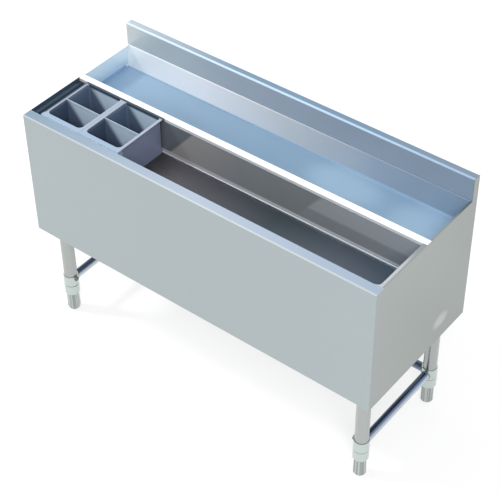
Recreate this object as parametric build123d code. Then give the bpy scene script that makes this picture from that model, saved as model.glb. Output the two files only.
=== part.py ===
from build123d import *
import os
from math import hypot

# Underbar ice bin with a recessed rear deck and two lift-out bottle wells.
# Millimetres. X runs left to right, Y from the front to the wall, Z up from the floor.
# The origin is on the floor, under the middle of the casing.

# Casing
unit_width = 1219.2
unit_depth = 476.0
rim_height = 781.0
casing_height = 431.0
casing_sheet = 1.5
front_rim_width = 33.0
end_rim_width = 14.0
rim_corner = 12.0
end_hem_width = 6.0
rim_return = 12.0
bottom_return = 20.0
end_bottom_return = 12.0
base_rise = 36.0
bottom_skirt = 20.0
bend_radius = 1.5
edge_round = 0.6
cut_margin = 1.0

# Backsplash
splash_rise = 75.5
splash_thickness = 26.0
splash_rear_drop = 30.0
splash_flange = 12.0

# Rear deck and the apron under its nosing
opening_depth = 200.7
nosing_width = 21.6
nosing_drop = 12.0
deck_recess = 79.0
deck_upturn_lean = 6.0
deck_end_upturn = 12.0
apron_drop = 132.0
apron_hem = 5.0
stiffener_width = 42.0
stiffener_height = 16.0
stiffener_flange = 14.0

# Bin liner
liner_sheet = 1.2
floor_rise = 93.0
liner_flange = 14.0
left_wall_thickness = 12.0
rear_wall_thickness = 52.0
left_flange_drop = 14.0
dish_depth = 5.0
dish_bottom_radius = 50.0
dish_top_radius = 78.0

# Bottle wells
well_sheet = 1.2
well_depth = 127.0
well_left_gap = 37.3
well_flange_side = 9.0
well_flange_front = 17.0
well_flange_rear = 7.2
well_pocket_width = 128.5
well_spacing_gap = 0.8
well_front_corner = 14.0
well_rear_corner = 6.0
well_bottom_round = 5.0
well_divider_from_front = 82.5
divider_hem = 3.4
divider_sheet = 1.2
divider_hem_height = 8.0
ledge_sheet = 1.5
front_ledge_reach = 14.0
rear_ledge_reach = 5.0
ledge_drop = 11.0
seat_gap = 0.3
side_gap = 0.8

# Drain
drain_x = 0.0
drain_from_opening = 100.0
drain_flange_radius = 45.0
drain_flange_height = 4.0
drain_neck_radius = 21.0
drain_neck_length = 38.0
drain_bore_radius = 14.0
drain_gasket_height = 2.0
drain_nut_height = 8.0
drain_nut_flats = 58.0
strainer_radius = 36.0
strainer_height = 1.6
strainer_hole_radius = 3.0
inner_ring_holes = 6
inner_ring_radius = 15.0
outer_ring_holes = 12
outer_ring_radius = 26.5
strainer_knob_radius = 6.0
strainer_knob_height = 9.0
strainer_knob_round = 3.0
tail_radius = 16.0
tail_end_radius = 16.7
tail_end_length = 40.0
tail_bore_radius = 13.0
tail_below_casing = 50.0
tail_insert = 14.0
drain_pocket_radius = 40.0
grommet_wall = 3.5
grommet_lip = 5.0
grommet_lip_height = 2.5
fit_gap = 0.05

# Base channels and leg sockets
channel_width = 86.0
channel_sheet = 2.0
channel_setback = 24.0
channel_rise = 6.0
socket_plate = 76.0
socket_plate_thickness = 3.0
socket_plate_corner = 3.0
socket_stub_length = 60.0
socket_stub_wall = 3.0
bolt_square = 56.0
bolt_radius = 4.0
bolt_flats = 13.0
bolt_head_height = 5.3
nut_height = 6.5
bolt_end_proud = 1.5

# Legs, feet and rails
leg_radius = 20.65
leg_wall = 1.5
leg_end_inset = 52.0
leg_front_inset = 59.0
leg_rear_inset = 64.0
foot_height = 108.0
foot_collar_radius = 23.5
foot_collar_height = 34.0
foot_taper = 2.0
foot_hex_flats = 36.0
foot_body_radius = 20.0
foot_tip_height = 26.0
foot_tip_radius = 11.0
foot_tip_slope = 0.6
foot_shoulder = 0.8
foot_running_gap = 0.3
foot_bore_depth = 76.0
foot_travel = 25.0
bush_lip = 1.0
bush_lip_inset = 1.1
bush_length = 34.0
stud_radius = 8.0
stud_engagement = 25.0
stud_in_foot = 28.0
sleeve_radius = 23.5
sleeve_length = 38.0
sleeve_chamfer = 0.8
rail_radius = 13.5
rail_wall = 1.5
rail_above_foot = 17.0
set_screw_radius = 4.0
set_screw_drop = 22.0
set_screw_proud = 1.0
set_screw_hex = 4.0
set_screw_hex_depth = 1.5
plug_radius = 8.0
plug_proud = 3.0
plug_shank_radius = 6.0
plug_below_sleeve_top = 9.5

# Places worked out from the sizes above
left = -unit_width / 2
right = unit_width / 2
front = -unit_depth / 2
back = unit_depth / 2
rim_z = rim_height
casing_bottom = rim_height - casing_height
inner_left = left + casing_sheet
inner_right = right - casing_sheet
inner_front = front + casing_sheet
inner_back = back - casing_sheet
under_rim = rim_z - casing_sheet
splash_top = rim_z + splash_rise
splash_front = back - splash_thickness
opening_front = front + front_rim_width
rim_edge = right - end_rim_width
nosing_front = opening_front + opening_depth
nosing_back = nosing_front + nosing_width
deck_z = rim_z - deck_recess
deck_under = deck_z - casing_sheet
deck_back = splash_front - deck_upturn_lean
bottom_panel_top = casing_bottom + base_rise + casing_sheet
bottom_panel_under = casing_bottom + base_rise
liner_left = left + left_wall_thickness
liner_right = rim_edge + casing_sheet
liner_front = opening_front - casing_sheet
liner_back = back - rear_wall_thickness
liner_top = under_rim - bend_radius
liner_cove = rim_corner + casing_sheet
floor_z = casing_bottom + floor_rise
drain_y = opening_front + drain_from_opening
dish_z = floor_z - dish_depth
ledge_top = rim_z - well_sheet - seat_gap
well_front = opening_front + side_gap
well_back = nosing_front - side_gap
well_width = well_pocket_width + 2 * well_flange_side
well_lefts = {
    "left": left + well_left_gap,
    "right": left + well_left_gap + well_width + well_spacing_gap,
}
wells_right = well_lefts["right"] + well_width
channel_under = casing_bottom + channel_rise
leg_top = channel_under - socket_plate_thickness
leg_x = unit_width / 2 - leg_end_inset
leg_places = {
    "front_left": (-leg_x, front + leg_front_inset),
    "front_right": (leg_x, front + leg_front_inset),
    "rear_left": (-leg_x, back - leg_rear_inset),
    "rear_right": (leg_x, back - leg_rear_inset),
}
leg_bottom = foot_height + bush_lip
leg_bore = leg_radius - leg_wall
sleeve_top = leg_bottom + sleeve_length
rail_height = foot_height + rail_above_foot
plug_height = sleeve_top - plug_below_sleeve_top


def block(x0, x1, y0, y1, z0, z1):
    """A box between two corners."""
    return Pos((x0 + x1) / 2, (y0 + y1) / 2, (z0 + z1) / 2) * Box(x1 - x0, y1 - y0, z1 - z0)


def rod(x, y, z0, z1, radius):
    """An upright cylinder."""
    return Pos(x, y, (z0 + z1) / 2) * Cylinder(radius, z1 - z0)


def ring(x, y, z0, z1, outer, inner):
    """An upright tube."""
    return rod(x, y, z0, z1, outer) - rod(x, y, z0 - cut_margin, z1 + cut_margin, inner)


def hexagon(x, y, z0, z1, flats):
    """An upright hexagonal bar, given across its flats."""
    return Pos(x, y, z0) * extrude(RegularPolygon(flats / 2, 6, major_radius=False), z1 - z0)


def offset_path(points, distance):
    """The same bent path, moved sideways to its right by distance."""
    moved = []
    for i, (u, v) in enumerate(points):
        normals = []
        for a, b in ((i - 1, i), (i, i + 1)):
            if a >= 0 and b < len(points):
                du, dv = points[b][0] - points[a][0], points[b][1] - points[a][1]
                length = hypot(du, dv)
                normals.append((dv / length, -du / length))
        first, last = normals[0], normals[-1]
        share = 1 + first[0] * last[0] + first[1] * last[1]
        moved.append((u + distance * (first[0] + last[0]) / share,
                      v + distance * (first[1] + last[1]) / share))
    return moved


def bend_radii(points, right_side, thickness):
    """Bend radius at each corner of one face of a folded sheet."""
    radii = []
    for (u0, v0), (u1, v1), (u2, v2) in zip(points, points[1:], points[2:]):
        turns_right = (u1 - u0) * (v2 - v1) - (v1 - v0) * (u2 - u1) < 0
        inside = turns_right == right_side
        radii.append(bend_radius if inside else bend_radius + thickness)
    return radii


def folded(points, thickness):
    """The section of a folded sheet: points run along one face, the sheet lies to their right."""
    other = offset_path(points, thickness)
    face = FilletPolyline(*points, radius=bend_radii(points, False, thickness))
    inner = FilletPolyline(*other, radius=bend_radii(points, True, thickness))
    return make_face(face + inner + Line(face @ 0, inner @ 0) + Line(face @ 1, inner @ 1))


def along_x(section, x0, x1):
    """A section drawn in Y and Z, run from x0 to x1."""
    return extrude(Plane.YZ.offset(x0) * section, x1 - x0)


def front_panel():
    section = folded([(front + bottom_return, casing_bottom), (front, casing_bottom), (front, rim_z),
                      (opening_front, rim_z), (opening_front, rim_z - rim_return)], casing_sheet)
    panel = along_x(section, left, right)
    for x0, x1 in ((left, inner_left), (inner_right, right)):
        panel -= block(x0, x1, inner_front, opening_front, casing_bottom, under_rim)
    corner_x = rim_edge - rim_corner
    panel -= block(corner_x, inner_right, opening_front - casing_sheet, opening_front,
                   rim_z - rim_return, under_rim)
    outer_bend = bend_radius + casing_sheet
    return panel + block(corner_x, right, opening_front - outer_bend, opening_front, under_rim, rim_z)


def rim_corner_piece(grow, z0, z1):
    """The rounded front right corner of the opening, between its curve and the square corner."""
    centre_x, centre_y = rim_edge - rim_corner, opening_front + rim_corner
    square = block(centre_x, rim_edge + grow, opening_front - grow, centre_y, z0, z1)
    return square - rod(centre_x, centre_y, z0 - cut_margin, z1 + cut_margin, rim_corner)


def end_panel(side):
    """side is -1 at the left and 1 at the right; only the right end has a wide rim."""
    outline = Polyline((inner_front, casing_bottom), (back, casing_bottom), (back, splash_top),
                       (splash_front, splash_top), (splash_front, rim_z), (opening_front, rim_z),
                       (opening_front, under_rim), (inner_front, under_rim), close=True)
    panel = along_x(make_face(outline), inner_right, right)
    outer_edges = [e for e in panel.edges()
                   if e.center().X > right - fit_gap and e.center().Z > rim_z - fit_gap
                   and e.length > splash_thickness / 2]
    panel = fillet(outer_edges, edge_round)
    panel += block(right - end_bottom_return, inner_right, front + bottom_return + side_gap,
                   back - bottom_return - side_gap, casing_bottom, casing_bottom + casing_sheet)
    panel += block(right - end_hem_width, inner_right, nosing_back + side_gap,
                   splash_front - side_gap, under_rim, rim_z)
    if side > 0:
        panel += block(rim_edge, inner_right, opening_front, nosing_front, under_rim, rim_z)
        panel += block(rim_edge, liner_right, opening_front + rim_corner, nosing_front,
                       rim_z - rim_return, under_rim)
        panel += rim_corner_piece(0, under_rim, rim_z)
        curved_return = rim_corner_piece(casing_sheet, rim_z - rim_return, under_rim)
        curved_return &= rod(rim_edge - rim_corner, opening_front + rim_corner,
                             rim_z - rim_return, under_rim, liner_cove)
        panel += curved_return
        return panel
    return mirror(panel, about=Plane.YZ)


def back_panel():
    section = folded([(back, rim_z - splash_rear_drop), (back, casing_bottom),
                      (back - bottom_return, casing_bottom)], casing_sheet)
    return along_x(section, inner_left, inner_right)


def bottom_panel():
    section = folded([(inner_front, bottom_panel_top - bottom_skirt), (inner_front, bottom_panel_top),
                      (inner_back, bottom_panel_top), (inner_back, bottom_panel_top - bottom_skirt)],
                     casing_sheet)
    panel = along_x(section, inner_left, inner_right)
    return panel - rod(drain_x, drain_y, bottom_panel_under - cut_margin,
                       bottom_panel_top + cut_margin, tail_end_radius + grommet_wall)


def backsplash():
    section = folded([(splash_front + splash_flange, rim_z), (splash_front, rim_z),
                      (splash_front, splash_top), (back, splash_top),
                      (back, rim_z - splash_rear_drop)], casing_sheet)
    return along_x(section, inner_left, inner_right)


def deck_pan():
    section = folded([(nosing_front, rim_z - nosing_drop), (nosing_front, rim_z), (nosing_back, rim_z),
                      (nosing_back, deck_z), (deck_back, deck_z), (splash_front, rim_z),
                      (splash_front + splash_flange, rim_z)], casing_sheet)
    pan = along_x(section, inner_left, inner_right)
    clear = bend_radius + casing_sheet
    for x0 in (inner_left, inner_right - casing_sheet):
        pan += block(x0, x0 + casing_sheet, nosing_back + clear, deck_back - clear,
                     deck_z - casing_sheet / 2, deck_z + deck_end_upturn)
    return pan


def deck_apron():
    """Plate behind the nosing's front lip, with a rolled hem along its lower edge."""
    y0 = nosing_front + casing_sheet
    x0, x1 = liner_left + side_gap, rim_edge - side_gap
    plate = block(x0, x1, y0, y0 + casing_sheet,
                  rim_z - apron_drop + apron_hem / 2, under_rim - bend_radius - casing_sheet)
    hem_place = Pos((x0 + x1) / 2, y0 + casing_sheet / 2, rim_z - apron_drop + apron_hem / 2)
    return plate + hem_place * Rot(0, 90, 0) * Cylinder(apron_hem / 2, x1 - x0)


def deck_stiffener():
    """Hat section that stiffens the deck from below."""
    middle = (nosing_back + deck_back) / 2
    half = stiffener_width / 2
    low = deck_under - stiffener_height
    section = folded([(middle + half + stiffener_flange, deck_under), (middle + half, deck_under),
                      (middle + half, low), (middle - half, low), (middle - half, deck_under),
                      (middle - half - stiffener_flange, deck_under)][::-1], casing_sheet)
    return along_x(section, liner_left + liner_cove, liner_right - liner_cove)


def basin(grow):
    """The liner's hollow, with coved edges, grown outwards by grow."""
    body = block(liner_left - grow, liner_right + grow, liner_front - grow, liner_back + grow,
                 floor_z - grow, liner_top)
    edges = body.edges().filter_by(Axis.Z) + body.faces().sort_by(Axis.Z)[0].edges()
    body = fillet(edges, liner_cove + grow)
    dish = Pos(drain_x, drain_y, (floor_z + dish_z) / 2 - grow) * Cone(
        dish_bottom_radius, dish_top_radius, dish_depth)
    return body + dish


def liner_parts():
    """The liner's wrapper and its two coved ends, which meet at welded seams past the coves."""
    shell = basin(liner_sheet) - basin(0)
    shell -= block(left, right, nosing_front, back, deck_under, liner_top + cut_margin)
    shell -= rod(drain_x, drain_y, dish_z - liner_sheet - cut_margin, floor_z,
                 drain_neck_radius + fit_gap)
    shell -= block(left, liner_left + liner_cove, liner_front, nosing_front,
                   rim_z - left_flange_drop, liner_top + cut_margin)
    straight = liner_cove + side_gap
    shell += block(liner_left + straight, liner_right - straight, liner_front - liner_flange,
                   liner_front - liner_sheet, liner_top - liner_sheet, liner_top)
    shell += block(liner_left + straight, liner_right - straight, liner_back + liner_sheet,
                   liner_back + liner_flange, deck_under - liner_sheet, deck_under)
    shell += block(inner_left, liner_left - liner_sheet, liner_front + straight,
                   nosing_front - straight, rim_z - left_flange_drop - liner_sheet,
                   rim_z - left_flange_drop)
    shell += block(liner_right + liner_sheet, inner_right, liner_front + straight,
                   nosing_front - straight, liner_top - liner_sheet, liner_top)
    left_zone = block(left, liner_left + straight, front, back, casing_bottom, rim_z)
    right_zone = block(liner_right - straight, right, front, back, casing_bottom, rim_z)
    return {
        "liner_wrapper": shell - left_zone - right_zone,
        "liner_left_end": shell & left_zone,
        "liner_right_end": shell & right_zone,
    }


def insulation():
    """Foam slabs that fill the casing round the liner."""
    z0 = bottom_panel_top
    z1 = rim_z - rim_return - bend_radius
    deck_top = deck_under - liner_sheet
    x0, x1 = inner_left, inner_right
    front_back = liner_front - liner_sheet
    rear_front = liner_back + liner_sheet
    low = dish_z - liner_sheet
    bottom = block(liner_left - liner_sheet, liner_right + liner_sheet, front_back, rear_front,
                   z0, low)
    bottom -= rod(drain_x, drain_y, z0 - cut_margin, low + cut_margin, drain_pocket_radius)
    left_top = rim_z - left_flange_drop - liner_sheet
    left_slab = block(x0, liner_left - liner_sheet, front_back, rear_front, z0, deck_top)
    left_slab += block(x0, liner_left - liner_sheet, front_back, nosing_front - side_gap,
                       deck_top, left_top)
    right_slab = block(liner_right + liner_sheet, x1, front_back, rear_front, z0, deck_top)
    right_slab += block(liner_right + liner_sheet, x1, front_back, nosing_front - side_gap,
                        deck_top, z1)
    return {
        "front_insulation": block(x0, x1, inner_front, front_back, z0, z1),
        "rear_insulation": block(x0, x1, rear_front, inner_back, z0, deck_top),
        "left_insulation": left_slab,
        "right_insulation": right_slab,
        "bottom_insulation": bottom,
    }


def well_ledges():
    """Short angles that carry the flanges of the bottle wells."""
    x0, x1 = well_lefts["left"], wells_right
    front_section = folded([(opening_front, ledge_top - ledge_drop), (opening_front, ledge_top),
                            (opening_front + front_ledge_reach, ledge_top)], ledge_sheet)
    rear_section = folded([(nosing_front - rear_ledge_reach, ledge_top), (nosing_front, ledge_top),
                           (nosing_front, ledge_top - ledge_drop)], ledge_sheet)
    return {
        "front_well_ledge": along_x(front_section, x0, x1),
        "rear_well_ledge": along_x(rear_section, x0, x1),
    }


def pocket(x0, grow):
    """The hollow of one bottle well, grown outwards by grow."""
    body = block(x0 + well_flange_side - grow, x0 + well_width - well_flange_side + grow,
                 well_front + well_flange_front - grow, well_back - well_flange_rear + grow,
                 rim_z - well_depth + well_sheet - grow, rim_z)
    corners = body.edges().filter_by(Axis.Z).sort_by(Axis.Y)
    body = fillet(corners[:2], well_front_corner + grow)
    rear_corners = body.edges().filter_by(Axis.Z).sort_by(Axis.Y)[-2:]
    body = fillet(rear_corners, well_rear_corner + grow)
    return fillet(body.faces().sort_by(Axis.Z)[0].edges(), well_bottom_round + grow)


def bottle_well(x0):
    flange = block(x0, x0 + well_width, well_front, well_back, rim_z - well_sheet, rim_z)
    flange = fillet(flange.edges().filter_by(Axis.Z), bend_radius)
    return flange + pocket(x0, well_sheet) - pocket(x0, 0)


def well_divider(x0):
    """Plate across the well with a folded-over top edge."""
    y = well_front + well_flange_front + well_divider_from_front
    low = rim_z - well_depth
    plate = block(x0, x0 + well_width, y - divider_sheet / 2, y + divider_sheet / 2, low, rim_z)
    hem = block(x0, x0 + well_width, y - divider_hem / 2, y + divider_hem / 2,
                rim_z - divider_hem_height, rim_z)
    hem = fillet([e for e in hem.edges().filter_by(Axis.X) if e.center().Z > rim_z - edge_round],
                 divider_hem / 2 - edge_round)
    return (plate + hem) & pocket(x0, 0)


def drain_parts():
    flange_top = dish_z + drain_flange_height
    neck_bottom = dish_z - drain_neck_length
    under_liner = dish_z - liner_sheet
    gasket_bottom = under_liner - drain_gasket_height
    body = rod(drain_x, drain_y, dish_z, flange_top, drain_flange_radius)
    body += rod(drain_x, drain_y, neck_bottom, flange_top, drain_neck_radius)
    body -= rod(drain_x, drain_y, neck_bottom - cut_margin, flange_top + cut_margin,
                drain_bore_radius)
    body -= rod(drain_x, drain_y, neck_bottom - cut_margin, neck_bottom + tail_insert,
                tail_radius + fit_gap)
    body -= rod(drain_x, drain_y, flange_top - strainer_height - seat_gap, flange_top + cut_margin,
                strainer_radius + seat_gap)
    strainer = rod(drain_x, drain_y, flange_top - strainer_height, flange_top, strainer_radius)
    rings = ((inner_ring_holes, inner_ring_radius), (outer_ring_holes, outer_ring_radius))
    for count, radius in rings:
        for place in PolarLocations(radius, count):
            x, y = drain_x + place.position.X, drain_y + place.position.Y
            strainer -= rod(x, y, flange_top - strainer_height - cut_margin,
                            flange_top + cut_margin, strainer_hole_radius)
    knob_top = flange_top + strainer_knob_height
    knob = rod(drain_x, drain_y, flange_top, knob_top, strainer_knob_radius)
    knob = fillet(knob.faces().sort_by(Axis.Z)[-1].edges(), strainer_knob_round)
    nut = hexagon(drain_x, drain_y, gasket_bottom - drain_nut_height, gasket_bottom, drain_nut_flats)
    nut -= rod(drain_x, drain_y, neck_bottom, dish_z, drain_neck_radius + fit_gap)
    tail_bottom = casing_bottom - tail_below_casing
    tail = rod(drain_x, drain_y, tail_bottom, neck_bottom + tail_insert, tail_radius)
    tail += rod(drain_x, drain_y, tail_bottom, tail_bottom + tail_end_length, tail_end_radius)
    tail -= rod(drain_x, drain_y, tail_bottom - cut_margin, neck_bottom + tail_insert + cut_margin,
                tail_bore_radius)
    hole = tail_end_radius + grommet_wall
    grommet = rod(drain_x, drain_y, bottom_panel_under, bottom_panel_top, hole - fit_gap)
    for z0 in (bottom_panel_under - grommet_lip_height, bottom_panel_top):
        grommet += rod(drain_x, drain_y, z0, z0 + grommet_lip_height, hole + grommet_lip)
    grommet -= rod(drain_x, drain_y, casing_bottom, deck_z, tail_radius + fit_gap)
    return {
        "drain_body": body,
        "drain_gasket": ring(drain_x, drain_y, gasket_bottom, under_liner,
                             drain_nut_flats / 2, drain_neck_radius + fit_gap),
        "drain_locknut": nut,
        "drain_tailpiece": tail,
        "drain_strainer": strainer + knob,
        "tailpiece_grommet": grommet,
    }


def bolt_places(x, y):
    half = bolt_square / 2
    return [(x + i * half, y + j * half) for i in (-1, 1) for j in (-1, 1)]


def base_channel(side):
    """Upright U channel under the bottom panel, open at the top."""
    x = side * leg_x
    half = channel_width / 2
    section = folded([(half, bottom_panel_under), (half, channel_under), (-half, channel_under),
                      (-half, bottom_panel_under)], channel_sheet)
    y0 = front + channel_setback
    channel = Pos(x, y0, 0) * extrude(Plane.XZ * section, -(unit_depth - 2 * channel_setback))
    for leg_side in leg_places.values():
        if abs(leg_side[0] - x) < channel_width:
            for bx, by in bolt_places(*leg_side):
                channel -= rod(bx, by, channel_under - cut_margin,
                               channel_under + channel_sheet + cut_margin,
                               bolt_radius + seat_gap)
    return channel


def leg_socket(x, y):
    """Plate bolted under the channel, with a stub that the leg slides on to."""
    half = socket_plate / 2
    plate = block(x - half, x + half, y - half, y + half, leg_top, channel_under)
    plate = fillet(plate.edges().filter_by(Axis.Z), socket_plate_corner)
    for bx, by in bolt_places(x, y):
        plate -= rod(bx, by, leg_top - cut_margin, channel_under + cut_margin,
                     bolt_radius + seat_gap)
    outer = leg_bore - fit_gap
    return plate + ring(x, y, leg_top - socket_stub_length, leg_top, outer,
                        outer - socket_stub_wall)


def socket_bolts():
    grip = channel_under + channel_sheet
    bolts, nuts = [], []
    for x, y in leg_places.values():
        for bx, by in bolt_places(x, y):
            bolts.append(hexagon(bx, by, leg_top - bolt_head_height, leg_top, bolt_flats)
                         + rod(bx, by, leg_top, grip + nut_height + bolt_end_proud, bolt_radius))
            nuts.append(hexagon(bx, by, grip, grip + nut_height, bolt_flats)
                        - rod(bx, by, grip - cut_margin, grip + nut_height + cut_margin,
                              bolt_radius + fit_gap))
    return Compound(children=bolts), Compound(children=nuts)


def radial_rod(x, y, z, start, end, radius, direction):
    """A short rod that stands out of a leg, from start to end along direction."""
    middle = (start + end) / 2
    turn = Rot(90, 0, 0) if direction[1] else Rot(0, 90, 0)
    place = Pos(x + direction[0] * middle, y + direction[1] * middle, z)
    return place * turn * Cylinder(radius, end - start)


def leg(x, y):
    tube = ring(x, y, leg_bottom, leg_top, leg_radius, leg_bore)
    tube -= radial_rod(x, y, leg_top - set_screw_drop, leg_bore / 2, 2 * leg_radius,
                       set_screw_radius + fit_gap, (0, -1))
    return tube


def inward(x):
    """The direction from a leg towards the bin's middle."""
    return (-1 if x > 0 else 1, 0)


def leg_sleeves():
    """Sleeves round the legs' lower ends; the rails are welded to them."""
    sleeves = []
    for name, (x, y) in leg_places.items():
        sleeve = rod(x, y, leg_bottom, sleeve_top, sleeve_radius)
        sleeve = chamfer(sleeve.edges().filter_by(GeomType.CIRCLE), sleeve_chamfer)
        sleeve -= rod(x, y, leg_bottom - cut_margin, sleeve_top + cut_margin,
                      leg_radius + fit_gap)
        if name.startswith("front"):
            sleeve -= radial_rod(x, y, plug_height, leg_bore, 2 * leg_radius,
                                 plug_shank_radius + fit_gap, inward(x))
        sleeves.append(sleeve)
    return Compound(children=sleeves)


def leg_set_screws():
    screws = []
    for x, y in leg_places.values():
        screw = radial_rod(x, y, leg_top - set_screw_drop, leg_bore,
                           leg_radius + set_screw_proud, set_screw_radius, (0, -1))
        hex_socket = Pos(x, y - leg_radius - set_screw_proud, leg_top - set_screw_drop)
        hex_socket *= Rot(90, 0, 0)
        screw -= hex_socket * Pos(0, 0, -set_screw_hex_depth) * extrude(
            RegularPolygon(set_screw_hex / 2, 6, major_radius=False), 2 * set_screw_hex_depth)
        screws.append(screw)
    return Compound(children=screws)


def sleeve_plugs():
    """Button plugs in the unused holes of the front legs' sleeves."""
    plugs = []
    for name, (x, y) in leg_places.items():
        if name.startswith("front"):
            head = radial_rod(x, y, plug_height, leg_radius, sleeve_radius + plug_proud,
                              plug_radius, inward(x))
            head -= rod(x, y, plug_height - 2 * plug_radius, plug_height + 2 * plug_radius,
                        sleeve_radius + fit_gap)
            shank = radial_rod(x, y, plug_height, leg_bore, sleeve_radius + plug_proud,
                               plug_shank_radius, inward(x))
            shank -= rod(x, y, plug_height - 2 * plug_radius, plug_height + 2 * plug_radius,
                         leg_radius + seat_gap)
            plugs.append(head + shank)
    return Compound(children=plugs)


def foot_bush(x, y):
    """Bush pressed into the leg's lower end; the foot's stud screws into it."""
    bush = rod(x, y, foot_height, leg_bottom, leg_radius - bush_lip_inset)
    bush += rod(x, y, leg_bottom, leg_bottom + bush_length, leg_bore - fit_gap)
    return bush - rod(x, y, foot_height - cut_margin, leg_bottom + bush_length + cut_margin,
                      stud_radius + fit_gap)


def foot_stud(x, y):
    stud_top = foot_height + stud_engagement + foot_travel
    return rod(x, y, foot_height - stud_in_foot, stud_top, stud_radius)


def foot(x, y):
    """Bullet foot: a collar, a short taper, a hexagonal body and a rounded tip."""
    top = foot_height - foot_running_gap
    collar_low = top - foot_collar_height
    taper_low = collar_low - foot_taper
    profile = Polyline((0, foot_tip_height), (foot_body_radius, foot_tip_height),
                       (foot_body_radius, taper_low), (foot_collar_radius, collar_low),
                       (foot_collar_radius, top - foot_shoulder),
                       (foot_collar_radius - foot_shoulder, top), (0, top), close=True)
    upper = revolve(Plane.XZ * make_face(profile), Axis.Z)
    flats = extrude(RegularPolygon(foot_hex_flats / 2, 6, major_radius=False), taper_low)
    round_part = rod(0, 0, taper_low, top, foot_collar_radius + cut_margin)
    upper = upper & (flats + round_part)
    tip_curve = Line((0, 0), (foot_tip_radius, 0)) + TangentArc(
        (foot_tip_radius, 0), (foot_body_radius, foot_tip_height), tangent=(1, foot_tip_slope))
    tip_curve += Line((foot_body_radius, foot_tip_height), (0, foot_tip_height))
    tip_curve += Line((0, foot_tip_height), (0, 0))
    tip = revolve(Plane.XZ * make_face(tip_curve), Axis.Z) & flats
    body = upper + tip
    body -= rod(0, 0, foot_height - foot_bore_depth, top + cut_margin,
                stud_radius + fit_gap)
    return Pos(x, y, 0) * body


def side_rail(side):
    x = side * leg_x
    y0, y1 = front + leg_front_inset, back - leg_rear_inset
    place = Pos(x, (y0 + y1) / 2, rail_height) * Rot(90, 0, 0)
    tube = place * Cylinder(rail_radius, y1 - y0)
    tube -= place * Cylinder(rail_radius - rail_wall, y1 - y0 + 2 * cut_margin)
    for y in (y0, y1):
        tube -= rod(x, y, 0, rim_z, sleeve_radius)
    return tube


def rear_rail():
    y = back - leg_rear_inset
    place = Pos(0, y, rail_height) * Rot(0, 90, 0)
    tube = place * Cylinder(rail_radius, 2 * leg_x)
    tube -= place * Cylinder(rail_radius - rail_wall, 2 * leg_x + 2 * cut_margin)
    for x in (-leg_x, leg_x):
        tube -= rod(x, y, 0, rim_z, sleeve_radius)
    return tube


def all_nodes():
    nodes = {
        "front_panel": front_panel(),
        "left_end_panel": end_panel(-1),
        "right_end_panel": end_panel(1),
        "back_panel": back_panel(),
        "bottom_panel": bottom_panel(),
        "backsplash": backsplash(),
        "deck_pan": deck_pan(),
        "deck_apron": deck_apron(),
        "deck_stiffener": deck_stiffener(),
        "left_base_channel": base_channel(-1),
        "right_base_channel": base_channel(1),
        "left_side_rail": side_rail(-1),
        "right_side_rail": side_rail(1),
        "rear_rail": rear_rail(),
        "leg_set_screws": leg_set_screws(),
        "leg_sleeves": leg_sleeves(),
        "sleeve_plugs": sleeve_plugs(),
    }
    nodes.update(liner_parts())
    nodes.update(insulation())
    nodes.update(well_ledges())
    nodes.update(drain_parts())
    nodes["socket_bolts"], nodes["socket_nuts"] = socket_bolts()
    for side, x0 in well_lefts.items():
        nodes[side + "_bottle_well"] = bottle_well(x0)
        nodes[side + "_well_divider"] = well_divider(x0)
    for name, (x, y) in leg_places.items():
        nodes[name + "_leg_socket"] = leg_socket(x, y)
        nodes[name + "_leg"] = leg(x, y)
        nodes[name + "_foot_bush"] = foot_bush(x, y)
        nodes[name + "_foot_stud"] = foot_stud(x, y)
        nodes[name + "_foot"] = foot(x, y)
    return nodes


os.makedirs("parts", exist_ok=True)
for node_name, shape in all_nodes().items():
    export_step(shape, os.path.join("parts", node_name + ".step"))
    print(node_name)
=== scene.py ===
import math
import bmesh
import bpy
from mathutils import Matrix, Vector


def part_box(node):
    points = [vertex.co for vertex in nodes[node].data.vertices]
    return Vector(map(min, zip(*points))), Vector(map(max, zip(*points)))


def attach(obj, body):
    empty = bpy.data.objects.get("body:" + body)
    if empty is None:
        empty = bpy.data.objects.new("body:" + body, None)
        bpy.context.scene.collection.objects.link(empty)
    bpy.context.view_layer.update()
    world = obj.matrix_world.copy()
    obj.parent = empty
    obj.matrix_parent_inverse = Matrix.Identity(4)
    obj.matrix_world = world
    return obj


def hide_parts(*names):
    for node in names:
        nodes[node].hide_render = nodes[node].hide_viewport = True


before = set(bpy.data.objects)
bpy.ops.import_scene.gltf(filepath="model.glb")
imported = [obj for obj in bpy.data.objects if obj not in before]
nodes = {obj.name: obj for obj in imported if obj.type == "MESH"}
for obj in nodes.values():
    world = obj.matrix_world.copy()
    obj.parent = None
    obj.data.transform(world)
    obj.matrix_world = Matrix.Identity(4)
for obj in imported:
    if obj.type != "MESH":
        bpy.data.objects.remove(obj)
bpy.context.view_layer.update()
print("frame loaded:", len(nodes), "nodes")

# camera: where the photograph was taken from, turned as it was
camera = {"place": (1.9623, -2.4475, 3.2732), "lens": 104.34, "sensor": 36.0, "clipEnd": 60,
          "azimuth": 38.38, "elevation": 42.24, "roll": -0.62}


def addCamera():
    data = bpy.data.cameras.new("camera")
    data.lens = camera["lens"]
    data.sensor_width = camera["sensor"]
    data.clip_end = camera["clipEnd"]
    obj = bpy.data.objects.new("camera", data)
    bpy.context.scene.collection.objects.link(obj)
    turn = Matrix.Rotation(math.radians(camera["azimuth"]), 4, "Z")
    tilt = Matrix.Rotation(math.radians(90 - camera["elevation"]), 4, "X")
    roll = Matrix.Rotation(math.radians(camera["roll"]), 4, "Z")
    obj.matrix_world = Matrix.Translation(camera["place"]) @ turn @ tilt @ roll
    bpy.context.scene.camera = obj


addCamera()
bpy.context.scene.view_settings.view_transform = "Standard"
print("camera placed")


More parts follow.
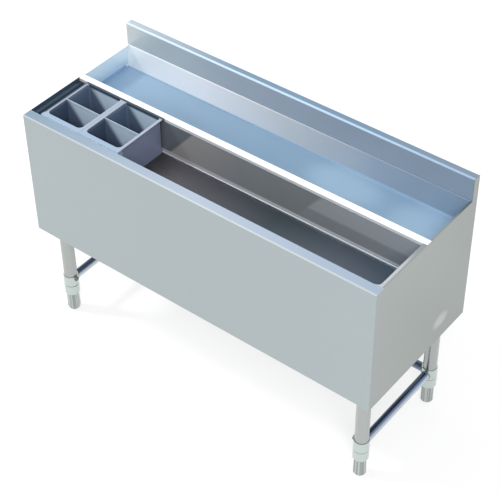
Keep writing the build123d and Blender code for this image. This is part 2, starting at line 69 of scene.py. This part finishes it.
class Value:
    # a socket that Python's operators can work on
    def __init__(self, wiring, socket):
        self.wiring = wiring
        self.socket = socket

    def sum(self, operation, first, second):
        return self.wiring.node("ShaderNodeMath", {"operation": operation}, {0: first, 1: second})

    def __add__(self, other):
        return self.sum("ADD", self, other)

    def __radd__(self, other):
        return self.sum("ADD", other, self)

    def __sub__(self, other):
        return self.sum("SUBTRACT", self, other)

    def __rsub__(self, other):
        return self.sum("SUBTRACT", other, self)

    def __mul__(self, other):
        return self.sum("MULTIPLY", self, other)

    def __rmul__(self, other):
        return self.sum("MULTIPLY", other, self)

    def __mod__(self, other):
        return self.sum("FLOORED_MODULO", self, other)


def layStops(ramp, colours):
    # colours laid evenly along a ramp, which has two stops from the start
    ramp[0].color = (*colours[0], 1)
    ramp[1].color = (*colours[-1], 1)
    for number, colour in enumerate(colours[1:-1], 1):
        ramp.new(number / (len(colours) - 1)).color = (*colour, 1)


class Wiring:
    # a tree of shader nodes, put together node by node
    def __init__(self, tree):
        self.tree = tree

    def feed(self, socket, value):
        if isinstance(value, Value):
            self.tree.links.new(value.socket, socket)
        else:
            socket.default_value = value

    def node(self, kind, settings=None, inputs=None, output=0):
        made = self.tree.nodes.new(kind)
        for key, value in (settings or {}).items():
            if key == "stops":
                layStops(made.color_ramp.elements, value)
            else:
                setattr(made, key, value)
        for key, value in (inputs or {}).items():
            self.feed(made.inputs[key], value)
        return Value(self, made.outputs[output])

    def most(self, first, second):
        return self.node("ShaderNodeMath", {"operation": "MAXIMUM"}, {0: first, 1: second})

    def shownRays(self):
        # 1 for what the camera sees straight, mirrored or through a surface, and 0 for what only lights
        seen, mirrored, through = [self.node("ShaderNodeLightPath", output=kind)
                                   for kind in ("Is Camera Ray", "Is Glossy Ray", "Is Transmission Ray")]
        return self.most(self.most(seen, mirrored), through)


class Finish(Wiring):
    # the material of a piece, whose patterns follow the place on the piece
    def __init__(self, name):
        self.material = bpy.data.materials.new(name)
        self.material.use_nodes = True
        super().__init__(self.material.node_tree)
        self.shader = self.tree.nodes["Principled BSDF"]
        self.place = self.node("ShaderNodeTexCoord", output="Object")
        self.x, self.y, self.z = [self.node("ShaderNodeSeparateXYZ", None, {0: self.place}, axis)
                                  for axis in "XYZ"]

    def spread(self, value, low, high, colours):
        # colours laid evenly from low to high
        share = self.node("ShaderNodeMapRange", None, {0: value, 1: low, 2: high})
        return self.node("ShaderNodeValToRGB", {"stops": colours}, {0: share})

    def lengthwise(self, colours):
        # colours laid evenly from the left end to the right end
        return self.spread(self.x, -endX, endX, colours)

    def mix(self, factor, first, second):
        ends = {key: end if isinstance(end, Value) else (*end, 1)
                for key, end in ((6, first), (7, second))}
        return self.node("ShaderNodeMix", {"data_type": "RGBA"}, {0: factor, **ends}, 2)

    def step(self, value, start, end):
        # 0 before start and 1 past end, smooth between them
        return self.node("ShaderNodeMapRange", {"interpolation_type": "SMOOTHSTEP"},
                         {0: value, 1: start, 2: end})

    def past(self, value, edge, band):
        # a step whose start and end are measured from an edge of the piece
        return self.step(value, edge + band[0], edge + band[1])

    def noise(self, scale, detail=2.0, stretch=(1, 1, 1)):
        where = self.node("ShaderNodeMapping", None, {"Vector": self.place, "Scale": stretch})
        return self.node("ShaderNodeTexNoise", None,
                         {"Vector": where, "Scale": scale, "Detail": detail})

    def bump(self, height, strength, depth):
        return self.node("ShaderNodeBump", None,
                         {"Strength": strength, "Distance": depth, "Height": height})

    def wear(self, values):
        for key, value in values.items():
            self.feed(self.shader.inputs[key], value)
        return self.material


def tone(red, green, blue):
    # a colour as a screen shows it, 0 to 255, turned into the light that shaders add up
    shares = [part / 255 for part in (red, green, blue)]
    return tuple(part / 12.92 if part <= 0.04045 else ((part + 0.055) / 1.055) ** 2.4
                 for part in shares)


print("shader tools ready")

# heights and edges that the finishes follow, from the frame
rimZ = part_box("front_panel")[1][2]
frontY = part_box("front_panel")[0][1]
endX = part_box("right_end_panel")[1][0]
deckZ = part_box("deck_pan")[0][2]
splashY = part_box("backsplash")[0][1]
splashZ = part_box("backsplash")[1][2]
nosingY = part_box("deck_pan")[0][1]
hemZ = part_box("deck_apron")[0][2]
wellX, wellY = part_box("left_bottle_well")[0][:2]
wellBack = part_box("left_bottle_well")[1][1]
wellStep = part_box("right_bottle_well")[0][0] - wellX
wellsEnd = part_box("right_bottle_well")[1][0]
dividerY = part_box("left_well_divider")[0][1]
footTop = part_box("front_left_foot")[1][2]
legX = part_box("right_side_rail")[1][0] / 2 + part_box("right_side_rail")[0][0] / 2
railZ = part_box("rear_rail")[1][2] / 2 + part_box("rear_rail")[0][2] / 2

# the grain of brushed sheet runs along one axis, and clouds are where the polish varies
grainStretch = {"x": (0.012, 1, 1), "y": (1, 0.012, 1), "z": (1, 1, 0.012)}
grain = {"scale": 900.0, "detail": 3.0, "bump": 0.6, "depth": 0.00004, "shade": 0.10, "gloss": 0.10}
cloud = {"scale": 6.0, "shade": 0.05, "gloss": 0.08}


def brushed(name, paint, roughness, along="x", metallic=1.0):
    finish = Finish(name)
    streak = finish.noise(grain["scale"], grain["detail"], grainStretch[along])
    patch = finish.noise(cloud["scale"])
    shade = (streak - 0.5) * grain["shade"] + (patch - 0.5) * cloud["shade"] + 1.0
    colour = paint(finish) if callable(paint) else paint
    painted = finish.node("ShaderNodeVectorMath", {"operation": "SCALE"}, {0: colour, 3: shade})
    dull = (streak - 0.5) * grain["gloss"] + (patch - 0.5) * cloud["gloss"] + roughness
    bump = finish.bump(streak, grain["bump"], grain["depth"])
    return finish.wear({"Base Color": painted, "Roughness": dull, "Metallic": metallic, "Normal": bump})


glintCore = 0.05


def glint(finish, across, up, centre, reach):
    # a soft round light patch, 1 in its core and 0 past its reach
    right = (across - centre[0]) * (1 / reach[0])
    rise = (up - centre[1]) * (1 / reach[1])
    return finish.step(right * right + rise * rise, 1.0, glintCore)


# in each look, a band is where one tone gives way to the next, most often measured from an edge

# front panel, with its flat rim in bluish painted reflection tones and a painted highlight on the bend
# between them
panelLook = {
    "face": [tone(176, 185, 187), tone(175, 184, 186), tone(176, 186, 189)],
    "rim": [tone(152, 176, 196), tone(196, 210, 227), tone(178, 194, 214)],
    "bendHighlight": [tone(206, 214, 218), tone(220, 229, 233), tone(208, 218, 224)],
    "rimBand": (-0.0042, -0.0022), "bendBand": (0.0048, 0.0022),
}


def panelPaint(finish):
    face = finish.lengthwise(panelLook["face"])
    rim = finish.lengthwise(panelLook["rim"])
    # painted highlight along the bend
    lit = finish.lengthwise(panelLook["bendHighlight"])
    top = finish.mix(finish.past(finish.y, frontY, panelLook["bendBand"]), rim, lit)
    return finish.mix(finish.past(finish.z, rimZ, panelLook["rimBand"]), face, top)


# right end, with a soft patch of light and the lit top of its folded edge
rightEndLook = {
    "face": [tone(167, 173, 172), tone(160, 166, 164), tone(154, 160, 158)],
    "patch": tone(206, 208, 204), "patchShare": 0.55,
    "patchCentre": (0.106, 0.423), "patchReach": (0.046, 0.030),
    "rearTop": tone(160, 164, 168), "frontTop": tone(205, 207, 214),
    "topBand": (-0.003, -0.001), "frontBand": (-0.02, -0.12), "innerBand": (-0.0045, -0.0065),
}


def rightEndPaint(finish):
    look = rightEndLook
    face = finish.spread(finish.y, frontY, -frontY, look["face"])
    patch = glint(finish, finish.y, finish.z, look["patchCentre"], look["patchReach"])
    face = finish.mix(patch * look["patchShare"], face, look["patch"])
    rim = finish.past(finish.z, rimZ, look["topBand"])
    front = finish.past(finish.y, nosingY, look["frontBand"])
    inner = finish.past(finish.x, endX, look["innerBand"])
    lit = finish.mix(front, look["rearTop"], look["frontTop"])
    return finish.mix(rim * inner, face, lit)


# left end: its top and its inner side by the wells are painted dark as a reflection of the dark room, and
# its inner side by the deck is painted lighter towards the top as a painted reflection
leftEndLook = {
    "outside": tone(168, 174, 172), "byWells": tone(66, 84, 102),
    "byDeck": [tone(160, 194, 224), tone(212, 230, 242), tone(234, 244, 250)],
    "innerBand": (0.0005, 0.0012), "deckBand": (0, 0.02),
}


def leftEndPaint(finish):
    inner = finish.past(finish.x, -endX, leftEndLook["innerBand"])
    glow = finish.spread(finish.z, deckZ, rimZ, leftEndLook["byDeck"])
    byDeck = finish.past(finish.y, nosingY, leftEndLook["deckBand"])
    wall = finish.mix(byDeck, leftEndLook["byWells"], glow)
    return finish.mix(inner, leftEndLook["outside"], wall)


# rear deck: its flat in bluish painted reflection tones with two painted patches of light, its upturn
# against the splash in painted reflection tones that are light at the left, and its nosing painted white
# as a highlight
deckLook = {
    "flat": [tone(150, 177, 203), tone(133, 159, 182), tone(132, 160, 184), tone(140, 167, 191),
             tone(142, 170, 196)],
    "light": tone(184, 212, 232), "lightShare": 0.36,
    "leftLight": ((0.245, 0.145), (0.150, 0.085)), "rightLight": ((0.510, 0.130), (0.120, 0.100)),
    "upturn": [tone(242, 246, 246), tone(238, 238, 242), tone(199, 202, 206), tone(152, 166, 181),
               tone(130, 151, 170)],
    "seam": tone(180, 208, 226), "seamShare": 0.6, "seamBand": (0.009, 0.005),
    "nosingFront": tone(226, 231, 234), "nosingTop": tone(250, 253, 255),
    "topBand": (-0.004, -0.0015), "nosingBand": (0.034, 0.026),
    "upturnBand": (-0.02, -0.010), "riseBand": (0.002, 0.005),
}


def deckPaint(finish):
    look = deckLook
    x, y, z = finish.x, finish.y, finish.z
    light = finish.most(glint(finish, x, y, *look["leftLight"]), glint(finish, x, y, *look["rightLight"]))
    flat = finish.mix(light * look["lightShare"], finish.lengthwise(look["flat"]), look["light"])
    seam = finish.past(z, deckZ, look["seamBand"])
    upturn = finish.mix(seam * look["seamShare"], finish.lengthwise(look["upturn"]), look["seam"])
    # painted highlight on the nosing
    nosing = finish.mix(finish.past(z, rimZ, look["topBand"]), look["nosingFront"], look["nosingTop"])
    rise = finish.mix(finish.past(y, splashY, look["upturnBand"]), flat, upturn)
    rear = finish.mix(finish.past(z, deckZ, look["riseBand"]), flat, rise)
    return finish.mix(finish.past(y, nosingY, look["nosingBand"]), rear, nosing)


# backsplash: its face, darker and bluer towards the right end, its top in bluish painted reflection tones
# with a painted highlight on its front edge, and its plain back
splashLook = {
    "face": [tone(182, 192, 195), tone(158, 169, 181), tone(143, 155, 170), tone(136, 151, 168)],
    "top": [tone(172, 184, 193), tone(112, 136, 158), tone(104, 130, 152), tone(114, 130, 147)],
    "edge": [tone(206, 222, 232), tone(178, 204, 226), tone(146, 170, 196)],
    "back": tone(200, 208, 210),
    "edgeBand": (0.0078, 0.0048), "topBand": (-0.004, -0.002), "backBand": (-0.003, -0.001),
}


def splashPaint(finish):
    face = finish.lengthwise(splashLook["face"])
    top = finish.lengthwise(splashLook["top"])
    lit = finish.lengthwise(splashLook["edge"])
    top = finish.mix(finish.past(finish.y, splashY, splashLook["edgeBand"]), top, lit)
    shown = finish.mix(finish.past(finish.z, splashZ, splashLook["topBand"]), face, top)
    return finish.mix(finish.past(finish.y, -frontY, splashLook["backBand"]), shown, splashLook["back"])


# apron: a painted slanting patch of light that fades low down, a painted reflection of the dark side of
# the wells at its left, and a painted highlight on its hem
apronLook = {
    "plate": [tone(178, 174, 171), tone(176, 173, 171), tone(139, 144, 148), tone(131, 136, 140),
              tone(132, 136, 143)],
    "patch": tone(186, 190, 194), "patchShare": 0.5, "patchSlant": 0.8, "patchBand": (0.276, 0.292),
    "lowBand": (-0.066, -0.078), "lowLoss": 0.8,
    "mirrored": tone(112, 120, 126), "mirroredSlant": 0.855, "mirroredBand": (0.006, -0.004),
    "hem": tone(200, 202, 207), "hemBand": (0.0185, 0.0150),
}


def apronPaint(finish):
    look = apronLook
    x, z = finish.x, finish.z
    low = finish.past(z, rimZ, look["lowBand"])
    patch = finish.step(x - (z - rimZ) * look["patchSlant"], *look["patchBand"])
    share = patch * (1.0 - low * look["lowLoss"]) * look["patchShare"]
    plate = finish.mix(share, finish.lengthwise(look["plate"]), look["patch"])
    mirrored = finish.past(x - (z - hemZ) * look["mirroredSlant"], wellsEnd, look["mirroredBand"])
    plate = finish.mix(mirrored, plate, look["mirrored"])
    # painted highlight along the hem
    return finish.mix(finish.past(z, hemZ, look["hemBand"]), plate, look["hem"])


# liner: light at both ends and darker between them
linerTones = [tone(190, 188, 190), tone(188, 187, 196), tone(145, 157, 166), tone(170, 181, 195),
              tone(196, 219, 230)]


def linerPaint(finish):
    return finish.lengthwise(linerTones)


# bottle wells: painted light falls over the left wall of each pocket and leaves a painted slanting shade
# on the wall behind, the right wall is painted dim, the flange has painted shade at its rear under the
# nosing and at its left edge, and its front is tinted bluish as a painted reflection like the rim
wellLook = {
    "frontShade": tone(73, 87, 110), "rearShade": tone(93, 109, 132),
    "frontLight": tone(168, 184, 200), "rearLight": tone(186, 205, 222),
    "dividerBand": (-0.002, 0.002), "slant": 0.8, "slantBand": (-0.004, 0.030),
    "side": tone(126, 134, 160), "sideBand": (0.1375, 0.1385),
    "behind": tone(60, 74, 88), "behindBand": (-0.0090, -0.0075), "underBand": (-0.014, -0.008),
    "flange": tone(156, 167, 184), "frontFlange": tone(146, 168, 190), "frontBand": (0.020, 0.012),
    "edge": tone(70, 84, 98), "edgeBand": (0.0055, 0.0035), "edgeStart": (0.010, 0.020),
    "topBand": (-0.0016, -0.0008),
}


def wellPaint(finish):
    look = wellLook
    x, y, z = finish.x, finish.y, finish.z
    across = (x - wellX) % wellStep
    lit = finish.step(across - (rimZ - z) * look["slant"], *look["slantBand"])
    rear = finish.past(y, dividerY, look["dividerBand"])
    shade = finish.mix(rear, look["frontShade"], look["rearShade"])
    light = finish.mix(rear, look["frontLight"], look["rearLight"])
    deep = finish.mix(lit, shade, light)
    # painted shade under the nosing, on the flange's rear and the top of the wall behind
    behind = finish.past(y, wellBack, look["behindBand"])
    deep = finish.mix(behind * finish.past(z, rimZ, look["underBand"]), deep, look["behind"])
    deep = finish.mix(finish.step(across, *look["sideBand"]), deep, look["side"])
    flange = finish.mix(finish.past(y, wellY, look["frontBand"]), look["flange"], look["frontFlange"])
    flange = finish.mix(behind, flange, look["behind"])
    # painted shade along the flange's left edge
    edge = finish.past(x, wellX, look["edgeBand"]) * finish.past(y, wellY, look["edgeStart"])
    flange = finish.mix(edge, flange, look["edge"])
    return finish.mix(finish.past(z, rimZ, look["topBand"]), deep, flange)


# front ledge: painted shade in the open gap, and light like the rim where the first well hides all but a
# hair's breadth of it
ledgeLook = {"open": tone(78, 96, 114), "byWells": tone(196, 210, 227), "wellBand": (0, 0.004)}


def ledgePaint(finish):
    return finish.mix(finish.past(finish.x, wellX, ledgeLook["wellBand"]),
                      ledgeLook["open"], ledgeLook["byWells"])


# feet: painted vertical streaks of light and shade where facets catch the light, with a collar at the top
# that is polished like the sleeve above it
footLook = {
    "dark": tone(150, 157, 154), "light": tone(188, 194, 192),
    "streaks": 200.0, "detail": 1.0, "streakBand": (0.38, 0.62),
    "collar": tone(196, 206, 202), "collarBand": (-0.036, -0.034),
}


def footPaint(finish):
    streaks = finish.noise(footLook["streaks"], footLook["detail"], grainStretch["z"])
    body = finish.mix(finish.step(streaks, *footLook["streakBand"]), footLook["dark"], footLook["light"])
    return finish.mix(finish.past(finish.z, footTop, footLook["collarBand"]), body, footLook["collar"])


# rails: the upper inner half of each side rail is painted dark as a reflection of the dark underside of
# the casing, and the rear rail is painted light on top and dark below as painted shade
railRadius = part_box("rear_rail")[1][2] - railZ
railLook = {
    "side": [tone(86, 100, 118), tone(66, 80, 100), tone(70, 84, 106), tone(112, 126, 152),
             tone(178, 188, 204), tone(204, 212, 214)],
    "rear": [tone(190, 198, 204), tone(168, 178, 192), tone(92, 106, 126), tone(90, 102, 118)],
    "lean": (0.914, 0.406), "middleBand": (-0.01, 0.01),
}


def sideRailPaint(finish):
    # one finish serves both side rails, so each point takes the middle of its own rail
    middle = finish.step(finish.x, *railLook["middleBand"]) * (2 * legX) - legX
    around = (finish.x - middle) * railLook["lean"][0] - (finish.z - railZ) * railLook["lean"][1]
    return finish.spread(around, -railRadius, railRadius, railLook["side"])


def rearRailPaint(finish):
    return finish.spread(finish.z, railZ - railRadius, railZ + railRadius, railLook["rear"])


finishes = {
    "panel": brushed("panel_steel", panelPaint, 0.36, "x"),
    "back": brushed("back_steel", tone(178, 186, 188), 0.40, "x"),
    "right_end": brushed("right_end_steel", rightEndPaint, 0.36, "y"),
    "left_end": brushed("left_end_steel", leftEndPaint, 0.34, "y", 0.4),
    "deck": brushed("deck_steel", deckPaint, 0.34, "x", 0.45),
    "splash": brushed("splash_steel", splashPaint, 0.36, "x", 0.35),
    "liner": brushed("liner_steel", linerPaint, 0.30, "x", 0.3),
    # the liner's left end and the rear ledge wear the painted shade of the open gap
    "liner_left": brushed("liner_left_steel", ledgeLook["open"], 0.30, "y", 0.3),
    "front_ledge": brushed("front_ledge_steel", ledgePaint, 0.30, "x", 0.3),
    "apron": brushed("apron_steel", apronPaint, 0.16, "x", 0.4),
    "well": brushed("well_steel", wellPaint, 0.30, "y", 0.3),
    "leg": brushed("leg_steel", tone(175, 180, 178), 0.26, "z"),
    "sleeve": brushed("sleeve_steel", footLook["collar"], 0.24, "z"),
    "foot": brushed("foot_steel", footPaint, 0.26, "z"),
    "rail": brushed("rail_steel", sideRailPaint, 0.20, "y"),
    "rear_rail": brushed("rear_rail_steel", rearRailPaint, 0.20, "x"),
    "galvanised": brushed("galvanised_steel", tone(170, 174, 176), 0.46, "x"),
    "screw": brushed("screw_steel", tone(110, 116, 118), 0.30, "z"),
    "weld": brushed("weld_steel", tone(150, 156, 158), 0.34, "z"),
    "chrome": brushed("drain_chrome", tone(210, 214, 218), 0.12, "z"),
    "brass": brushed("drain_brass", tone(196, 160, 96), 0.26, "z"),
    "bush": brushed("bush_steel", tone(150, 156, 154), 0.40, "z"),
}

# gasket and grommet
rubberLook = {"scale": 60.0, "detail": 3.0, "dark": tone(24, 24, 25), "bloom": tone(52, 52, 54),
              "bloomBand": (0.4, 0.8), "bump": 0.4, "depth": 0.0002, "roughness": 0.6, "gloss": 0.2}


def rubber():
    finish = Finish("black_rubber")
    bloom = finish.noise(rubberLook["scale"], rubberLook["detail"])
    share = finish.step(bloom, *rubberLook["bloomBand"])
    return finish.wear({"Base Color": finish.mix(share, rubberLook["dark"], rubberLook["bloom"]),
                        "Roughness": bloom * rubberLook["gloss"] + rubberLook["roughness"],
                        "Normal": finish.bump(bloom, rubberLook["bump"], rubberLook["depth"])})


# plugs in the front sleeves
plasticLook = {"scale": 1400.0, "dark": tone(96, 99, 102), "light": tone(122, 125, 128),
               "bump": 0.3, "depth": 0.00006, "roughness": 0.4, "gloss": 0.15}


def plastic():
    finish = Finish("grey_plastic")
    grit = finish.noise(plasticLook["scale"])
    return finish.wear({"Base Color": finish.mix(grit, plasticLook["dark"], plasticLook["light"]),
                        "Roughness": grit * plasticLook["gloss"] + plasticLook["roughness"],
                        "Normal": finish.bump(grit, plasticLook["bump"], plasticLook["depth"])})


# insulation: its open top is painted dark as the shade of the deck
foamLook = {"scale": 260.0, "light": tone(226, 212, 168), "dark": tone(196, 176, 126),
            "deckShade": tone(58, 64, 70), "deckShadeBand": (-0.05, -0.03),
            "bump": 0.8, "depth": 0.001, "roughness": 0.9}


def foam():
    finish = Finish("insulation_foam")
    cells = finish.node("ShaderNodeTexVoronoi", None, {"Vector": finish.place, "Scale": foamLook["scale"]})
    colour = finish.mix(cells, foamLook["light"], foamLook["dark"])
    # painted shade of the deck on the open top
    colour = finish.mix(finish.past(finish.z, deckZ, foamLook["deckShadeBand"]), colour, foamLook["deckShade"])
    return finish.wear({"Base Color": colour, "Roughness": foamLook["roughness"],
                        "Normal": finish.bump(cells, foamLook["bump"], foamLook["depth"])})


finishes.update({"rubber": rubber(), "plastic": plastic(), "foam": foam()})

corners = ["front_left", "front_right", "rear_left", "rear_right"]


def atCorners(piece):
    return [corner + piece for corner in corners]


wearsWhat = {
    "panel": ["front_panel"],
    "back": ["back_panel", "bottom_panel"],
    "right_end": ["right_end_panel"],
    "left_end": ["left_end_panel"],
    "deck": ["deck_pan"],
    "splash": ["backsplash"],
    "liner": ["liner_wrapper", "liner_right_end", "deck_stiffener"],
    "liner_left": ["liner_left_end", "rear_well_ledge"],
    "front_ledge": ["front_well_ledge"],
    "apron": ["deck_apron"],
    "well": ["left_bottle_well", "right_bottle_well", "left_well_divider", "right_well_divider"],
    "rail": ["left_side_rail", "right_side_rail"],
    "rear_rail": ["rear_rail"],
    "sleeve": ["leg_sleeves"],
    "leg": atCorners("_leg"),
    "foot": atCorners("_foot"),
    "bush": atCorners("_foot_bush"),
    "galvanised": ["left_base_channel", "right_base_channel"] + atCorners("_leg_socket"),
    "screw": ["leg_set_screws", "socket_bolts", "socket_nuts"] + atCorners("_foot_stud"),
    "chrome": ["drain_body", "drain_strainer", "drain_tailpiece"],
    "brass": ["drain_locknut"],
    "rubber": ["drain_gasket", "tailpiece_grommet"],
    "plastic": ["sleeve_plugs"],
    "foam": [side + "_insulation" for side in ("front", "rear", "left", "right", "bottom")],
}


def dress(name, material):
    obj = nodes[name]
    obj.data.materials.clear()
    obj.data.materials.append(material)


for finishName, names in wearsWhat.items():
    for name in names:
        dress(name, finishes[finishName])
print("bare nodes:", [name for name in nodes if not nodes[name].data.materials])


def addSkin(name, rows, closed, finishName, body):
    # a smooth skin over rings of points; a closed one joins its last ring to its first
    # threads and weld beads are laid this way, because no primitive can be shaped to follow them
    form = bmesh.new()
    rings = [[form.verts.new(point) for point in row] for row in rows]
    for low, high in zip(rings, rings[1:] + rings[:1] if closed else rings[1:]):
        for here in range(len(low)):
            after = (here + 1) % len(low)
            form.faces.new((low[here], low[after], high[after], high[here]))
    if not closed:
        form.faces.new(rings[0])
        form.faces.new(rings[-1])
    bmesh.ops.recalc_face_normals(form, faces=form.faces)
    mesh = bpy.data.meshes.new(name)
    form.to_mesh(mesh)
    form.free()
    for face in mesh.polygons:
        face.use_smooth = len(face.vertices) == 4
    mesh.materials.append(finishes[finishName])
    obj = bpy.data.objects.new(name, mesh)
    bpy.context.scene.collection.objects.link(obj)
    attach(obj, body)
    return obj


# threads of the levelling studs
thread = {"pitch": 0.002309, "depth": 0.0011, "around": 24, "perTurn": 4, "runOut": 0.002}


def addThread(corner):
    low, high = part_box(corner + "_foot_stud")
    middle = (low + high) / 2
    radius = (high[0] - low[0]) / 2
    steps = round((high[2] - low[2]) / thread["pitch"] * thread["perTurn"])
    rows = []
    for step in range(steps + 1):
        z = low[2] + (high[2] - low[2]) * step / steps
        row = []
        for part in range(thread["around"]):
            turn = part / thread["around"]
            groove = abs(2 * ((z / thread["pitch"] - turn) % 1) - 1)
            end = max(0, 1 - min(z - low[2], high[2] - z) / thread["runOut"])
            reach = radius - thread["depth"] * max(groove, end)
            angle = 2 * math.pi * turn
            row.append((middle[0] + reach * math.cos(angle), middle[1] + reach * math.sin(angle), z))
        rows.append(row)
    obj = addSkin(corner + "_stud_thread", rows, False, "screw", corner + "_screw")
    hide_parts(corner + "_foot_stud")


for corner in corners:
    addThread(corner)
print("studs threaded")

# rippled weld beads round the rails' ends, on the sleeves
weld = {"radius": 0.0016, "ripple": 0.14, "ripples": 42, "around": 168, "section": 8}
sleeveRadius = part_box("leg_sleeves")[1][0] - legX


def addWeld(name, leg, way):
    low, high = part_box(leg + "_leg")
    centre = Vector(((low[0] + high[0]) / 2, (low[1] + high[1]) / 2, railZ))
    along = Vector((*way, 0))
    side = Vector((-along.y, along.x, 0))
    rows = []
    for part in range(weld["around"]):
        angle = 2 * math.pi * part / weld["around"]
        off = railRadius * math.cos(angle)
        seat = centre + along * math.sqrt(sleeveRadius ** 2 - off ** 2) + side * off
        seat.z += railRadius * math.sin(angle)
        outward = side * math.cos(angle) + Vector((0, 0, math.sin(angle)))
        bead = weld["radius"] * (1 + weld["ripple"] * math.sin(weld["ripples"] * angle))
        row = []
        for number in range(weld["section"]):
            bit = 2 * math.pi * number / weld["section"]
            row.append(seat + bead * (outward * math.cos(bit) + along * math.sin(bit)))
        rows.append(row)
    addSkin(name, rows, True, "weld", "casing")


for side in ("left", "right"):
    addWeld(side + "_front_rail_weld", "front_" + side, (0, 1))
    addWeld(side + "_rear_side_rail_weld", "rear_" + side, (0, -1))
    addWeld(side + "_rear_rail_weld", "rear_" + side, (1 if side == "left" else -1, 0))
print("rails welded")

# small rounded edges of turned and pressed pieces; angle is in degrees
edges = {"fastener": 0.0006, "foot": 0.0008, "segments": 2, "angle": 40, "join": 0.00001}


def soften(name, width):
    obj = nodes[name]
    join = obj.modifiers.new("join", "WELD")
    join.merge_threshold = edges["join"]
    edge = obj.modifiers.new("edge", "BEVEL")
    edge.width = width
    edge.segments = edges["segments"]
    edge.limit_method = "ANGLE"
    edge.angle_limit = math.radians(edges["angle"])


for name in ["socket_bolts", "socket_nuts", "drain_locknut"]:
    soften(name, edges["fastener"])
for name in atCorners("_foot"):
    soften(name, edges["foot"])
print("edges softened")

# studio: world and floor light the bin at their own strength, and what shows of them is near white
studio = {"floorSize": 30.0, "floorColour": (0.27, 0.27, 0.27), "floorGlow": 0.68, "worldStrength": 0.85,
          "white": (1, 1, 1, 1)}


def addWorld():
    world = bpy.data.worlds.new("studio")
    bpy.context.scene.world = world
    world.use_nodes = True
    wiring = Wiring(world.node_tree)
    shade = wiring.tree.nodes["Background"]
    strength = wiring.node("ShaderNodeMapRange", None, {0: wiring.shownRays(), 3: studio["worldStrength"]})
    wiring.feed(shade.inputs["Color"], studio["white"])
    wiring.feed(shade.inputs["Strength"], strength)


def addFloor():
    bpy.ops.object.select_all(action="DESELECT")
    bpy.ops.mesh.primitive_plane_add(size=studio["floorSize"], location=(0, 0, 0))
    floor = bpy.context.object
    floor.name = "floor"
    finish = Finish("floor_white")
    floor.data.materials.append(finish.wear({
        "Base Color": (*studio["floorColour"], 1), "Roughness": 1.0, "Specular IOR Level": 0.0,
        "Emission Color": studio["white"], "Emission Strength": finish.shownRays() * studio["floorGlow"]}))


suns = {
    "key": {"way": (0.62, 0.30, -0.77), "spread": 10.0, "power": 1.6},
    "fill": {"way": (-0.46, 0.58, -0.67), "spread": 25.0, "power": 2.0},
}


def addSun(name, sun):
    data = bpy.data.lights.new(name, "SUN")
    data.energy = sun["power"]
    data.angle = math.radians(sun["spread"])
    obj = bpy.data.objects.new(name, data)
    bpy.context.scene.collection.objects.link(obj)
    obj.rotation_euler = Vector(sun["way"]).to_track_quat("-Z", "Y").to_euler()
    obj.visible_glossy = False


addWorld()
addFloor()
for sunName, sun in suns.items():
    addSun(sunName, sun)
print("studio lit")
